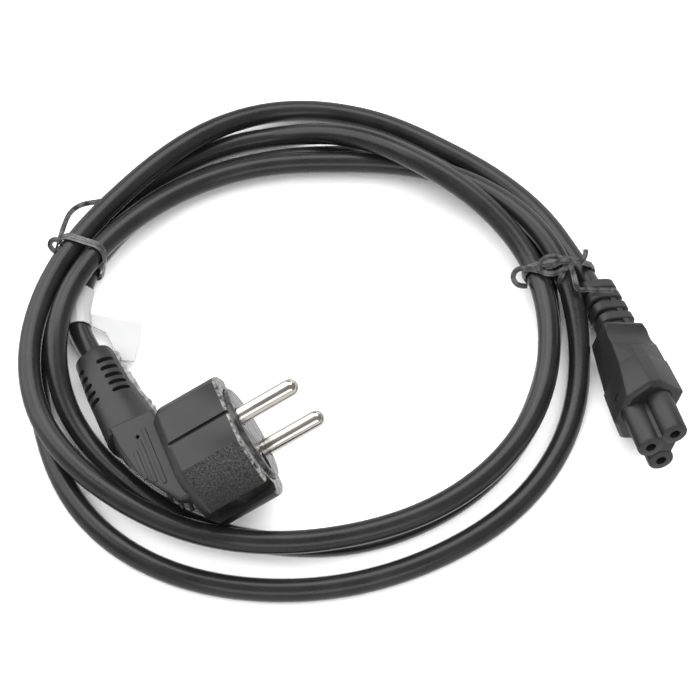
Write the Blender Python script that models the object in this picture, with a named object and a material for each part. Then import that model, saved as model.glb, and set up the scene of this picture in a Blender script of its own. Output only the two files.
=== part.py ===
"""Mains lead: an angled earthed plug, a loosely coiled round cord, and a three-hole appliance connector.

The lead lies on a level floor at z = 0. Each end is modelled in its own frame, in millimetres, and its
finished mesh is then placed in the world, in metres. The cord's route is a list of stations round the coil.
"""
import math

import bmesh
import bpy
import numpy as np
from mathutils import Matrix, Vector

# General sizes, in millimetres
MM = 0.001
CLEARANCE = 0.3            # gap between neighbouring pieces
CORD_DIAMETER = 6.4
CORD_SIDES_RESOLUTION = 3  # bevel resolution of the cord's tube

FRAME_SHIFT = (1.0, -2.3, 0.0)   # moves the finished lead so that its box is centred over the origin

# Route of the coil: centre on the floor, and radius and height of the cord's axis every 20 degrees
COIL_CENTRE = (-12.5, 0.0)
STATION_START = 20.0
STATION_STEP = 20.0
STATIONS = [
    (81.8, 4.2), (79.8, 3.3), (78.3, 3.2), (80.5, 3.2), (79.0, 6.5), (73.6, 10.2),
    (71.3, 10.3), (73.3, 10.8), (76.8, 10.2), (77.6, 9.8), (73.4, 9.7), (69.4, 10.1),
    (67.0, 12.0), (64.4, 10.3), (65.0, 9.9), (66.8, 9.8), (68.3, 9.9), (68.5, 10.3),
    (68.0, 10.8), (64.8, 14.3), (63.0, 16.2), (67.2, 11.8), (72.0, 3.5), (72.0, 3.3),
    (73.0, 3.9), (75.0, 4.2), (75.9, 3.6), (77.1, 3.2), (80.0, 3.2), (79.6, 3.2),
    (76.9, 3.2), (75.3, 3.2), (75.4, 3.2), (77.2, 3.2), (78.0, 3.2), (77.2, 6.0),
    (75.7, 10.6), (71.5, 10.2), (66.0, 8.3), (60.6, 7.6), (59.0, 8.4), (59.8, 9.3),
    (62.2, 10.2), (66.3, 11.2), (69.8, 10.8), (69.4, 5.2), (65.7, 3.2), (64.0, 3.2),
    (62.8, 3.2), (63.3, 3.2), (64.2, 3.2), (65.7, 3.2), (67.2, 3.3), (69.3, 3.8),
    (71.9, 4.2), (72.8, 3.4), (70.2, 3.2), (65.8, 3.2), (63.9, 3.2), (64.6, 3.3),
    (66.0, 3.8), (67.3, 4.2),
]
TUBE_POINT_STEP = 18.0     # degrees between the tube's points, the same angles on every turn
# Route from the last station to the plug
PLUG_END_POINTS = [(-77.2, 17.2, 4.1), (-77.9, 11.0, 4.0), (-77.2, 4.8, 4.2)]
CORD_INTO_RELIEF = 1.6     # how far each end of the cord reaches into its strain relief
STRAIGHT_RUN = 4.5         # straight length outside each strain relief

# Angled plug: x along the pins, y towards the cord, z out of the upper flat
PLUG_ORIGIN = (-26.94, -38.83, 22.1)
PLUG_X = (0.8633, 0.3824, 0.3293)
PLUG_Y = (-0.3613, 0.9239, -0.1256)
HEAD_RADIUS = 18.2
HEAD_DEPTH = 18.5
HEAD_FLAT = 15.2           # distance of each flat from the axis
HEAD_EDGE = 0.8
HEAD_BACK = -20.6          # rear face of the head, smaller than its front and set off towards the cord's side
HEAD_BACK_EDGE = 3.0
HEAD_BACK_SHRINK = 3.0
HEAD_BACK_OFFSET = 0.8
HOUSING_HALF_THICKNESS = 9.0
# Outlines of the back housing seen along z, at its top, middle and bottom: it draws in below the far edge
HOUSING_TOP = [(-20.1, 17.0), (-32.9, 18.5), (-32.1, 10.1), (-30.1, 0.1), (-22.5, -13.3), (-17.5, -13.3)]
HOUSING_MIDDLE = [(-20.1, 18.2), (-37.0, 22.0), (-34.6, 11.5), (-31.2, 4.0), (-24.5, -8.5), (-17.5, -13.0)]
HOUSING_BOTTOM = [(-20.1, 16.0), (-31.5, 17.5), (-30.0, 10.0), (-26.0, 3.0), (-20.0, -6.0), (-17.5, -9.0)]
GUIDE_GROOVE_WIDTH = 1.2
GUIDE_GROOVE_DEPTH = 0.9
GUIDE_GROOVE_Y = -0.5
CLIP_SLOT_WIDTH = 6.4
CLIP_SLOT_DEPTH = 3.0
CLIP_WIDTH = 4.4
CLIP_THICKNESS = 0.6
INSERT_RADIUS = 13.6
INSERT_RAISED = 1.3
INSERT_SUNK = 4.0
INSERT_EDGE = 0.5
PIN_DIAMETER = 4.8
PIN_LENGTH = 19.0
PIN_SPACING = 19.0
PIN_ROOT = 3.4             # length of a pin inside the insert
EARTH_HOLE_DIAMETER = 5.2
EARTH_HOLE_OFFSET = 10.0
EARTH_HOLE_DEPTH = 15.0
RELIEF_ROOT = (-28.7, 17.0)
RELIEF_MIDDLE = (-31.3, 36.0)
RELIEF_TIP = (-31.86, 48.6)
RELIEF_WAY = (-0.1087, 0.9941)   # direction in which the cord leaves
RELIEF_ROOT_HALF = (8.2, 8.6)
RELIEF_MIDDLE_HALF = (6.5, 5.9)
RELIEF_TIP_HALF = (5.7, 5.0)
RELIEF_SLOT_WIDTH = 1.5
RELIEF_SLOT_PITCH = 3.05
RELIEF_SLOT_COUNT = 5
RELIEF_SLOT_FIRST = 30.8
RELIEF_SLOT_FLOOR = 3.2    # the slots reach down to this distance from the relief's middle plane
RELIEF_SPINE = (-30.95, -0.127)   # middle of the spine at the first slot, and its slope
RELIEF_SPINE_HALF = 2.1
RELIEF_SLOT_RIGHT = 6.6    # outer ends of the slots, from the middle of the spine
RELIEF_SLOT_LEFT = 6.4

# Appliance connector: x along the nose, y away from the head tube, z from the lower to the upper ear tube
CONNECTOR_ORIGIN = (81.9, -25.9, 14.35)
CONNECTOR_X = (0.2432, -0.9445, 0.2210)
CONNECTOR_Y = (0.9314, 0.1638, -0.3250)
EAR_OFFSET = 5.2
HEAD_OFFSET = 5.2
TUBE_RADIUS = 3.6
NOSE_WEB_RADIUS = 2.4      # the web joins the three tubes, this far outside the lines between their axes
NOSE_FLANGE = 0.2          # the nose's base is this much larger than the tubes
TUBE_LENGTH = 15.6
CONTACT_HOLE_RADIUS = 1.45
CONTACT_HOLE_DEPTH = 9.0
CONTACT_LENGTH = 6.0
CONTACT_WALL = 0.25
NOSE_ROOT = 3.0            # depth of the nose's base in the body; its front is flush with the body's
BODY_FRONT = 2.6
BODY_EDGE = 1.2            # chamfer round the front
BODY_STEP = -10.0          # from here the body narrows to the rear
BODY_WAIST = -17.0
BODY_REAR = -27.4
# Half sections of the body from its right side over its top to its left side, as (y, z)
FRONT_SECTION = [(7.2, 7.3), (-1.5, 11.5), (-5.0, 11.2), (-9.35, 5.2)]
FACE_SECTION = [(6.0, 7.0), (-1.6, 10.3), (-4.7, 10.1), (-8.15, 5.0)]
STEP_SECTION = [(6.3, 7.6), (-0.9, 10.3), (-4.4, 10.1), (-8.1, 6.2)]
WAIST_SECTION = [(6.2, 6.6), (-0.7, 8.7), (-3.9, 8.6), (-6.9, 6.0)]
REAR_SECTION = [(6.6, 4.6), (5.9, 5.3), (-5.6, 5.3), (-6.3, 4.6)]
SCOOP_RADIUS = 9.0         # thumb scoop above and below
SCOOP_X = -22.5
SCOOP_Z = 13.9
RELIEF_START = (-27.4, 0.3, 0.0)         # axis of the cord in the relief
RELIEF_END = (-45.9, -1.8, 0.4)
RING_START = (-27.4, 1.0, 0.0)           # axis of the relief's rings
RING_END = (-45.9, -1.1, 0.4)
RING_PLACES = (0.0, 4.3, 8.6, 12.8)      # rings, counted from the cord's end of the relief
RING_THICKNESS = (3.4, 3.1, 3.1, 3.1)
RING_HALF_WIDTH = 5.5
RING_HALF_HEIGHT = 4.3
RING_EDGE = 0.5
RING_SQUARE = 3.5
RELIEF_CORE_RADIUS = 3.95

# Twist ties and label
TIE_ANGLES = (158.5, 16.5)
TIE_WIDTH = 1.8
TIE_THICKNESS = 0.45
TIE_CLEARANCE = 0.38
TIE_TAIL_RADIUS = 0.55
TIE_ROOT_SLOPE = 50.0      # where the tails leave the band, above the level
# Tails of each tie, after their root on the band over the outer upper strand
LEFT_TAILS = [
    [(-85.0, 31.0, 12.4), (-84.0, 36.0, 10.4), (-81.5, 40.5, 9.2), (-78.5, 44.5, 8.4)],
    [(-87.4, 26.4, 10.8), (-88.9, 23.2, 8.6), (-89.6, 20.6, 7.2)],
]
RIGHT_TAILS = [
    [(61.2, 21.6, 15.8), (64.5, 23.4, 16.2), (67.4, 25.6, 15.6)],
    [(63.2, 18.8, 13.8), (65.6, 15.8, 12.8), (68.6, 14.2, 12.2), (75.8, 13.8, 12.2)],
]
LABEL_SLEEVE_THICKNESS = 0.3
FLAG_THICKNESS = 0.4
FLAG_CORNERS = [(-74.3, 9.4), (-58.8, 6.4), (-60.8, -6.1), (-64.8, -5.8), (-69.4, 3.4), (-74.0, 5.8)]

COLLECTION_NAME = "mains_lead"


def clear_scene():
    for old in list(bpy.data.objects):
        bpy.data.objects.remove(old, do_unlink=True)


def material(name, colour, roughness, metallic=0.0):
    made = bpy.data.materials.new(name)
    made.use_nodes = True
    shader = made.node_tree.nodes["Principled BSDF"]
    shader.inputs["Base Color"].default_value = (*colour, 1.0)
    shader.inputs["Roughness"].default_value = roughness
    shader.inputs["Metallic"].default_value = metallic
    return made


def link(name, mesh):
    made = bpy.data.objects.new(name, mesh)
    bpy.context.scene.collection.objects.link(made)
    return made


def evaluated_mesh(source):
    graph = bpy.context.evaluated_depsgraph_get()
    return bpy.data.meshes.new_from_object(source.evaluated_get(graph))


def from_bmesh(name, bm):
    bm.normal_update()
    bmesh.ops.recalc_face_normals(bm, faces=bm.faces)
    mesh = bpy.data.meshes.new(name)
    bm.to_mesh(mesh)
    bm.free()
    return link(name, mesh)


def hull(name, points):
    """One convex solid round the given points."""
    bm = bmesh.new()
    for point in points:
        bm.verts.new(point)
    result = bmesh.ops.convex_hull(bm, input=bm.verts)
    loose = {item for item in result["geom_interior"] + result["geom_unused"]
             if isinstance(item, bmesh.types.BMVert)}
    bmesh.ops.delete(bm, geom=list(loose), context='VERTS')
    bmesh.ops.dissolve_limit(bm, angle_limit=math.radians(0.5), verts=bm.verts, edges=bm.edges)
    return from_bmesh(name, bm)


def cylinder(name, radius, start, end, sides=32):
    """A cylinder between two points."""
    start = Vector(start)
    end = Vector(end)
    bm = bmesh.new()
    bmesh.ops.create_cone(bm, cap_ends=True, segments=sides, radius1=radius, radius2=radius,
                          depth=(end - start).length)
    turn = (end - start).to_track_quat('Z', 'Y').to_matrix().to_4x4()
    bm.transform(Matrix.Translation((start + end) / 2) @ turn)
    return from_bmesh(name, bm)


def box(name, low, high):
    """A box between two corners."""
    low = Vector(low)
    high = Vector(high)
    bm = bmesh.new()
    bmesh.ops.create_cube(bm, size=1.0)
    bm.transform(Matrix.Translation((low + high) / 2) @ Matrix.Diagonal((*(high - low), 1.0)))
    return from_bmesh(name, bm)


def tube(name, points, radius, resolution):
    """A round tube through the points, made from a curve and turned into a closed mesh."""
    curve = bpy.data.curves.new(name, 'CURVE')
    curve.dimensions = '3D'
    curve.bevel_depth = radius
    curve.bevel_resolution = resolution
    curve.use_fill_caps = True
    spline = curve.splines.new('POLY')
    spline.points.add(len(points) - 1)
    for slot, point in zip(spline.points, points):
        slot.co = (*point, 1.0)
    source = link(name + "_curve", curve)
    mesh = evaluated_mesh(source)
    bpy.data.objects.remove(source)
    bm = bmesh.new()
    bm.from_mesh(mesh)
    bpy.data.meshes.remove(mesh)
    bmesh.ops.remove_doubles(bm, verts=bm.verts, dist=0.001)
    return from_bmesh(name, bm)


def flat_plate(name, outlines, thickness):
    """A flat plate from closed outlines in its own plane; an outline inside another is a hole."""
    curve = bpy.data.curves.new(name, 'CURVE')
    curve.dimensions = '2D'
    curve.fill_mode = 'BOTH'
    curve.extrude = thickness / 2
    for outline in outlines:
        spline = curve.splines.new('POLY')
        spline.points.add(len(outline) - 1)
        for slot, point in zip(spline.points, outline):
            slot.co = (point[0], point[1], 0.0, 1.0)
        spline.use_cyclic_u = True
    source = link(name + "_curve", curve)
    mesh = evaluated_mesh(source)
    bpy.data.objects.remove(source)
    bm = bmesh.new()
    bm.from_mesh(mesh)
    bpy.data.meshes.remove(mesh)
    bmesh.ops.remove_doubles(bm, verts=bm.verts, dist=0.001)
    return from_bmesh(name, bm)


def combine(target, others, operation):
    """Joins solids to the target, or cuts them from it, and removes them."""
    for other in others:
        step = target.modifiers.new("step", 'BOOLEAN')
        step.solver = 'EXACT'
        step.operation = operation
        step.object = other
        mesh = evaluated_mesh(target)
        target.modifiers.clear()
        target.data = mesh
        bpy.data.objects.remove(other)
    bm = bmesh.new()
    bm.from_mesh(target.data)
    bmesh.ops.remove_doubles(bm, verts=bm.verts, dist=0.002)
    bmesh.ops.dissolve_limit(bm, angle_limit=math.radians(0.3), verts=bm.verts, edges=bm.edges)
    bmesh.ops.triangulate(bm, faces=bm.faces)
    bm.to_mesh(target.data)
    bm.free()
    return target


def place(piece, pose, look, collection):
    """Moves a finished mesh from its own frame in millimetres to the world in metres."""
    piece.data.transform(Matrix.Scale(MM, 4) @ Matrix.Translation(FRAME_SHIFT) @ pose)
    piece.data.materials.clear()
    piece.data.materials.append(look)
    piece.data.shade_smooth()
    piece.data.set_sharp_from_angle(angle=math.radians(35))
    bpy.context.scene.collection.objects.unlink(piece)
    collection.objects.link(piece)


def pose_matrix(origin, x_axis, y_axis):
    """Frame of one end of the lead: x as given, y squared up to it, z from the two."""
    x_axis = Vector(x_axis).normalized()
    y_axis = Vector(y_axis)
    y_axis = (y_axis - x_axis * y_axis.dot(x_axis)).normalized()
    z_axis = x_axis.cross(y_axis)
    turn = Matrix((x_axis, y_axis, z_axis)).transposed().to_4x4()
    return Matrix.Translation(origin) @ turn


PLUG_POSE = pose_matrix(PLUG_ORIGIN, PLUG_X, PLUG_Y)
CONNECTOR_POSE = pose_matrix(CONNECTOR_ORIGIN, CONNECTOR_X, CONNECTOR_Y)


def natural_spline(values):
    """Natural cubic spline through values one unit apart; gives a function of the place along them."""
    values = np.array(values, float)
    count = len(values)
    rows = np.eye(count)
    right = np.zeros(count)
    for i in range(1, count - 1):
        rows[i, i - 1:i + 2] = (1.0, 4.0, 1.0)
        right[i] = 6.0 * (values[i - 1] - 2.0 * values[i] + values[i + 1])
    bend = np.linalg.solve(rows, right)

    def at(place):
        i = int(min(max(math.floor(place), 0), count - 2))
        u = place - i
        v = 1.0 - u
        return float(v * values[i] + u * values[i + 1]
                     + ((v ** 3 - v) * bend[i] + (u ** 3 - u) * bend[i + 1]) / 6.0)
    return at


RADIUS_AT = natural_spline([station[0] for station in STATIONS])
HEIGHT_AT = natural_spline([station[1] for station in STATIONS])


def coil_section(degrees):
    """Radius and height of the cord's axis at an angle counted from the first turn."""
    along = (degrees - STATION_START) / STATION_STEP
    return RADIUS_AT(along), max(HEIGHT_AT(along), CORD_DIAMETER / 2)


def coil_point(degrees, chord_step=0.0):
    """Point of the route; a chord step moves it out so that chords straddle the true curve."""
    radius, height = coil_section(degrees)
    radius *= 0.5 + 0.5 / math.cos(math.radians(chord_step / 2))
    angle = math.radians(degrees)
    return Vector((COIL_CENTRE[0] + radius * math.cos(angle), COIL_CENTRE[1] + radius * math.sin(angle), height))


def cord_ends():
    """Where the cord enters each strain relief, and the direction in which it leaves it."""
    connector_exit = CONNECTOR_POSE @ Vector(RELIEF_END)
    connector_way = CONNECTOR_POSE.to_3x3() @ (Vector(RELIEF_END) - Vector(RELIEF_START)).normalized()
    plug_exit = PLUG_POSE @ Vector((*RELIEF_TIP, 0.0))
    plug_way = PLUG_POSE.to_3x3() @ Vector((*RELIEF_WAY, 0.0))
    return connector_exit, connector_way, plug_exit, plug_way


def cord_points():
    """The tube's points, from the connector to the plug."""
    connector_exit, connector_way, plug_exit, plug_way = cord_ends()
    points = [connector_exit - connector_way * CORD_INTO_RELIEF,
              connector_exit + connector_way * STRAIGHT_RUN,
              coil_point(STATION_START)]
    last = STATION_START + STATION_STEP * (len(STATIONS) - 1)
    angle = TUBE_POINT_STEP * 2
    while angle < last - TUBE_POINT_STEP / 2:
        points.append(coil_point(angle, TUBE_POINT_STEP))
        angle += TUBE_POINT_STEP
    points.append(coil_point(last))
    points += [Vector(point) for point in PLUG_END_POINTS]
    points.append(plug_exit + plug_way * STRAIGHT_RUN)
    points.append(plug_exit - plug_way * CORD_INTO_RELIEF)
    return points


def flatted_circle(x, radius, flat, offset=0.0, sides=48):
    """Section of the plug's head at x: a circle with a flat above and below."""
    limit = math.asin(flat / radius)
    half = sides // 2
    section = []
    for start in (-limit, math.pi - limit):
        for i in range(half + 1):
            angle = start + 2 * limit * i / half
            section.append((x, offset + radius * math.cos(angle), radius * math.sin(angle)))
    return section


def oval(centre, across, half_width, half_height, sides=24, square=2.6):
    """Section of a strain relief: a squared oval across the plane's own direction."""
    section = []
    for i in range(sides):
        angle = 2 * math.pi * i / sides
        cosine = math.cos(angle)
        sine = math.sin(angle)
        u = half_width * math.copysign(abs(cosine) ** (2 / square), cosine)
        v = half_height * math.copysign(abs(sine) ** (2 / square), sine)
        section.append((centre[0] + across[0] * u, centre[1] + across[1] * u, v))
    return section


def plug_body():
    """Head, back housing and strain relief, moulded as one piece."""
    head = hull("plug_body", flatted_circle(HEAD_BACK, HEAD_RADIUS - HEAD_BACK_SHRINK, HEAD_FLAT - HEAD_BACK_SHRINK,
                                            HEAD_BACK_OFFSET)
                + flatted_circle(HEAD_BACK + HEAD_BACK_EDGE, HEAD_RADIUS, HEAD_FLAT)
                + flatted_circle(-HEAD_EDGE, HEAD_RADIUS, HEAD_FLAT)
                + flatted_circle(0.0, HEAD_RADIUS - HEAD_EDGE, HEAD_FLAT - HEAD_EDGE))
    housing = hull("housing", [(x, y, HOUSING_HALF_THICKNESS) for x, y in HOUSING_TOP]
                   + [(x, y, 0.0) for x, y in HOUSING_MIDDLE]
                   + [(x, y, -HOUSING_HALF_THICKNESS) for x, y in HOUSING_BOTTOM])
    across = (RELIEF_WAY[1], -RELIEF_WAY[0])
    upper = hull("relief_upper", oval(RELIEF_ROOT, (1.0, 0.0), *RELIEF_ROOT_HALF)
                 + oval(RELIEF_MIDDLE, across, *RELIEF_MIDDLE_HALF))
    lower = hull("relief_lower", oval(RELIEF_MIDDLE, across, *RELIEF_MIDDLE_HALF)
                 + oval(RELIEF_TIP, across, *RELIEF_TIP_HALF))
    combine(head, [housing, upper, lower], 'UNION')
    recess = cylinder("recess", INSERT_RADIUS + CLEARANCE, (-INSERT_SUNK - CLEARANCE, 0, 0), (1.0, 0, 0), 48)
    cutters = [recess]
    for side in (1, -1):
        groove = sorted((side * (HEAD_FLAT - GUIDE_GROOVE_DEPTH), side * (HEAD_FLAT + 1.0)))
        cutters.append(box("groove", (HEAD_BACK - 0.2, GUIDE_GROOVE_Y - GUIDE_GROOVE_WIDTH / 2, groove[0]),
                           (1.0, GUIDE_GROOVE_Y + GUIDE_GROOVE_WIDTH / 2, groove[1])))
        slot = sorted((side * (HEAD_RADIUS - CLIP_SLOT_DEPTH), side * (HEAD_RADIUS + 1.0)))
        cutters.append(box("clip_slot", (HEAD_BACK - 0.2, slot[0], -CLIP_SLOT_WIDTH / 2),
                           (1.0, slot[1], CLIP_SLOT_WIDTH / 2)))
    cutters.append(cylinder("earth_hole", EARTH_HOLE_DIAMETER / 2,
                            (-EARTH_HOLE_DEPTH, -EARTH_HOLE_OFFSET, 0), (0, -EARTH_HOLE_OFFSET, 0), 24))
    way = Vector((*RELIEF_WAY, 0.0))
    tip = Vector((*RELIEF_TIP, 0.0))
    bore = CORD_DIAMETER / 2 + CLEARANCE
    cutters.append(cylinder("cord_bore", bore, tip - way * (CORD_INTO_RELIEF + CLEARANCE), tip + way * 2.0, 24))
    for i in range(RELIEF_SLOT_COUNT):
        y = RELIEF_SLOT_FIRST + i * RELIEF_SLOT_PITCH
        spine = RELIEF_SPINE[0] + RELIEF_SPINE[1] * (y - RELIEF_SLOT_FIRST)
        for side in (1, -1):
            span = sorted((side * RELIEF_SLOT_FLOOR, side * HOUSING_HALF_THICKNESS))
            cutters.append(box("slot_right", (spine + RELIEF_SPINE_HALF, y - RELIEF_SLOT_WIDTH / 2, span[0]),
                               (spine + RELIEF_SLOT_RIGHT, y + RELIEF_SLOT_WIDTH / 2, span[1])))
            cutters.append(box("slot_left", (spine - RELIEF_SLOT_LEFT, y - RELIEF_SLOT_WIDTH / 2, span[0]),
                               (spine - RELIEF_SPINE_HALF, y + RELIEF_SLOT_WIDTH / 2, span[1])))
    return combine(head, cutters, 'DIFFERENCE')


def plug_insert():
    """Moulded disc in the face, which the pins stand in."""
    rings = []
    for x, radius in ((-INSERT_SUNK, INSERT_RADIUS), (INSERT_RAISED - INSERT_EDGE, INSERT_RADIUS),
                      (INSERT_RAISED, INSERT_RADIUS - INSERT_EDGE)):
        rings += [(x, radius * math.cos(a), radius * math.sin(a))
                  for a in (2 * math.pi * i / 48 for i in range(48))]
    disc = hull("plug_insert", rings)
    hole = PIN_DIAMETER / 2 + CLEARANCE
    cutters = [cylinder("pin_hole", hole, (-INSERT_SUNK - 1, 0, side * PIN_SPACING / 2),
                        (INSERT_RAISED + 1, 0, side * PIN_SPACING / 2), 24) for side in (1, -1)]
    cutters.append(cylinder("earth_hole", EARTH_HOLE_DIAMETER / 2, (-INSERT_SUNK - 1, -EARTH_HOLE_OFFSET, 0),
                            (INSERT_RAISED + 1, -EARTH_HOLE_OFFSET, 0), 24))
    return combine(disc, cutters, 'DIFFERENCE')


def pin(name, side):
    """One solid round pin with a rounded tip."""
    radius = PIN_DIAMETER / 2
    profile = [(-PIN_ROOT, radius), (PIN_LENGTH - radius, radius)]
    for degrees in (30, 55, 75):
        angle = math.radians(degrees)
        profile.append((PIN_LENGTH - radius + radius * math.sin(angle), radius * math.cos(angle)))
    points = [(x, r * math.cos(a), side * PIN_SPACING / 2 + r * math.sin(a))
              for x, r in profile for a in (2 * math.pi * i / 24 for i in range(24))]
    return hull(name, points)


def earth_clip(name, side):
    """Sprung metal strip lying in one side slot of the head."""
    floor = HEAD_RADIUS - CLIP_SLOT_DEPTH + CLEARANCE
    profile = [(-HEAD_DEPTH + 1.0, 0.0), (-13.5, 0.0), (-9.0, 1.1), (-4.5, 0.0), (-1.2, 0.0)]
    outline = [(x, side * (floor + rise)) for x, rise in profile]
    outline += [(x, side * (floor + rise + CLIP_THICKNESS)) for x, rise in reversed(profile)]
    return flat_plate(name, [outline], CLIP_WIDTH)


def house_section(x, half):
    """Section of the connector's body at x, the same above and below."""
    return [(x, y, turn * z) for y, z in half for turn in (1, -1)]


def nose_places():
    """Axes of the three tubes of the nose, as (y, z)."""
    return ((-HEAD_OFFSET, 0.0), (0.0, EAR_OFFSET), (0.0, -EAR_OFFSET))


def nose_block(name, radius, rear, front):
    """Solid round the axes of the three tubes, at one radius from them."""
    angles = [2 * math.pi * i / 24 for i in range(24)]
    return hull(name, [(x, y + radius * math.cos(a), z + radius * math.sin(a))
                       for y, z in nose_places() for a in angles for x in (rear, front)])


def relief_section(along, half_width, half_height, square=2.0, sides=24):
    """Squared oval across the connector's strain relief, a distance from its cord end."""
    end = Vector(RING_END)
    axis = (Vector(RING_START) - end).normalized()
    across = Vector((0.0, 1.0, 0.0))
    across = (across - axis * across.dot(axis)).normalized()
    up = axis.cross(across)
    centre = end + axis * along
    section = []
    for i in range(sides):
        cosine = math.cos(2 * math.pi * i / sides)
        sine = math.sin(2 * math.pi * i / sides)
        section.append(centre + across * half_width * math.copysign(abs(cosine) ** (2 / square), cosine)
                       + up * half_height * math.copysign(abs(sine) ** (2 / square), sine))
    return section


def connector_body():
    """Moulded body and ringed strain relief of the connector, one piece."""
    body = hull("connector_body", house_section(BODY_FRONT, FACE_SECTION)
                + house_section(BODY_FRONT - BODY_EDGE, FRONT_SECTION) + house_section(BODY_STEP, STEP_SECTION))
    rear = hull("rear", house_section(BODY_STEP + 1.0, [(y * 0.97, z * 0.97) for y, z in STEP_SECTION])
                + house_section(BODY_WAIST, WAIST_SECTION) + house_section(BODY_REAR, REAR_SECTION))
    combine(body, [rear], 'UNION')
    combine(body, [cylinder("scoop", SCOOP_RADIUS, (SCOOP_X, -15.0, side * SCOOP_Z), (SCOOP_X, 15.0, side * SCOOP_Z),
                            40) for side in (1, -1)], 'DIFFERENCE')
    length = (Vector(RING_START) - Vector(RING_END)).length
    parts = [hull("relief_core", relief_section(RING_THICKNESS[0] / 2, RELIEF_CORE_RADIUS, RELIEF_CORE_RADIUS)
                  + relief_section(length + 2.0, RELIEF_CORE_RADIUS, RELIEF_CORE_RADIUS))]
    for place_along, thickness in zip(RING_PLACES, RING_THICKNESS):
        ring = []
        for along, shrink in ((0.0, RING_EDGE), (RING_EDGE, 0.0), (thickness - RING_EDGE, 0.0),
                              (thickness, RING_EDGE)):
            ring += relief_section(place_along + along, RING_HALF_WIDTH - shrink, RING_HALF_HEIGHT - shrink,
                                   RING_SQUARE)
        parts.append(hull("ring", ring))
    combine(body, parts, 'UNION')
    end = Vector(RELIEF_END)
    axis = (Vector(RELIEF_START) - end).normalized()
    bore = CORD_DIAMETER / 2 + CLEARANCE
    cutters = [nose_block("pocket", TUBE_RADIUS + NOSE_FLANGE + CLEARANCE, -NOSE_ROOT - CLEARANCE, BODY_FRONT + 1.0),
               cylinder("cord_bore", bore, end + axis * (CORD_INTO_RELIEF + CLEARANCE), end - axis * 2.0, 24)]
    return combine(body, cutters, 'DIFFERENCE')


def connector_nose():
    """Base and three tubes of the nose, moulded as one piece, with a hole in each tube."""
    nose = nose_block("connector_nose", TUBE_RADIUS + NOSE_FLANGE, -NOSE_ROOT, BODY_FRONT)
    tubes = [nose_block("web", NOSE_WEB_RADIUS, -NOSE_ROOT / 3, TUBE_LENGTH - 0.3)]
    holes = []
    for y, z in nose_places():
        tubes.append(cylinder("tube", TUBE_RADIUS, (-NOSE_ROOT / 2, y, z), (TUBE_LENGTH, y, z), 28))
        holes.append(cylinder("hole", CONTACT_HOLE_RADIUS, (TUBE_LENGTH - CONTACT_HOLE_DEPTH, y, z),
                              (TUBE_LENGTH + 1, y, z), 16))
    combine(nose, tubes, 'UNION')
    return combine(nose, holes, 'DIFFERENCE')


def contact(name, y, z):
    """Small metal socket inside one hole of the nose."""
    outer = CONTACT_HOLE_RADIUS - CLEARANCE
    rear = TUBE_LENGTH - CONTACT_HOLE_DEPTH + CLEARANCE
    socket = cylinder(name, outer, (rear, y, z), (rear + CONTACT_LENGTH, y, z), 16)
    inner = cylinder("inner", outer - CONTACT_WALL, (rear + 1.0, y, z), (rear + CONTACT_LENGTH + 1, y, z), 16)
    return combine(socket, [inner], 'DIFFERENCE')


def wrap(centres, radius, arc_points=5):
    """Outline of a band drawn tight round circles of one radius."""
    ordered = sorted(centres)
    corners = []
    for run in (ordered, ordered[::-1]):
        chain = []
        for point in run:
            while len(chain) > 1 and cross(chain[-2], chain[-1], point) < 0.02:
                chain.pop()
            chain.append(point)
        corners += chain[:-1]
    count = len(corners)
    normals = [math.atan2(corners[i][0] - corners[(i + 1) % count][0],
                          corners[(i + 1) % count][1] - corners[i][1]) for i in range(count)]
    outline = []
    for i in range(count):
        first = normals[i - 1]
        sweep = (normals[i] - first) % (2 * math.pi)
        for j in range(arc_points):
            angle = first + sweep * j / (arc_points - 1)
            outline.append((corners[i][0] + radius * math.cos(angle), corners[i][1] + radius * math.sin(angle)))
    return outline


def cross(a, b, c):
    return (b[0] - a[0]) * (c[1] - a[1]) - (b[1] - a[1]) * (c[0] - a[0])


def strand_sections(degrees, aside=0.0):
    """Radius and height of each strand of the tube where it crosses a radial plane, or one beside it."""
    angle = math.radians(degrees)
    outward = Vector((math.cos(angle), math.sin(angle), 0.0))
    across = Vector((-outward.y, outward.x, 0.0))
    centre = Vector((*COIL_CENTRE, 0.0)) + across * aside
    sections = []
    points = cord_points()
    for start, end in zip(points, points[1:]):
        first = (start - centre).dot(across)
        second = (end - centre).dot(across)
        if first * second > 0 or (start - centre).dot(outward) < 0:
            continue
        crossing = start.lerp(end, first / (first - second)) - centre
        sections.append((crossing.dot(outward), crossing.z))
    return sections


def tie(name, degrees, tails):
    """Twist tie: a flat band round the four strands at one angle, with two twisted tails."""
    centres = strand_sections(degrees)
    spread = [section for aside in (-TIE_WIDTH / 2, 0.0, TIE_WIDTH / 2) for section in strand_sections(degrees, aside)]
    inner = CORD_DIAMETER / 2 + TIE_CLEARANCE
    band = flat_plate(name, [wrap(spread, inner + TIE_THICKNESS), wrap(spread, inner)], TIE_WIDTH)
    angle = math.radians(degrees)
    outward = Vector((math.cos(angle), math.sin(angle), 0.0))
    up = Vector((0.0, 0.0, 1.0))
    turn = Matrix((outward, up, outward.cross(up))).transposed().to_4x4()
    frame = Matrix.Translation((*COIL_CENTRE, 0.0)) @ turn
    band.data.transform(frame)
    upper = max((c for c in centres if c[1] > CORD_DIAMETER), key=lambda c: c[0])
    reach = inner + TIE_THICKNESS
    slope = math.radians(TIE_ROOT_SLOPE)
    root = frame @ Vector((upper[0] + reach * math.cos(slope), upper[1] + reach * math.sin(slope), 0.0))
    knots = [tube("tail", [root] + [Vector(point) for point in points], TIE_TAIL_RADIUS, 1) for points in tails]
    return combine(band, knots, 'UNION')


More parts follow.
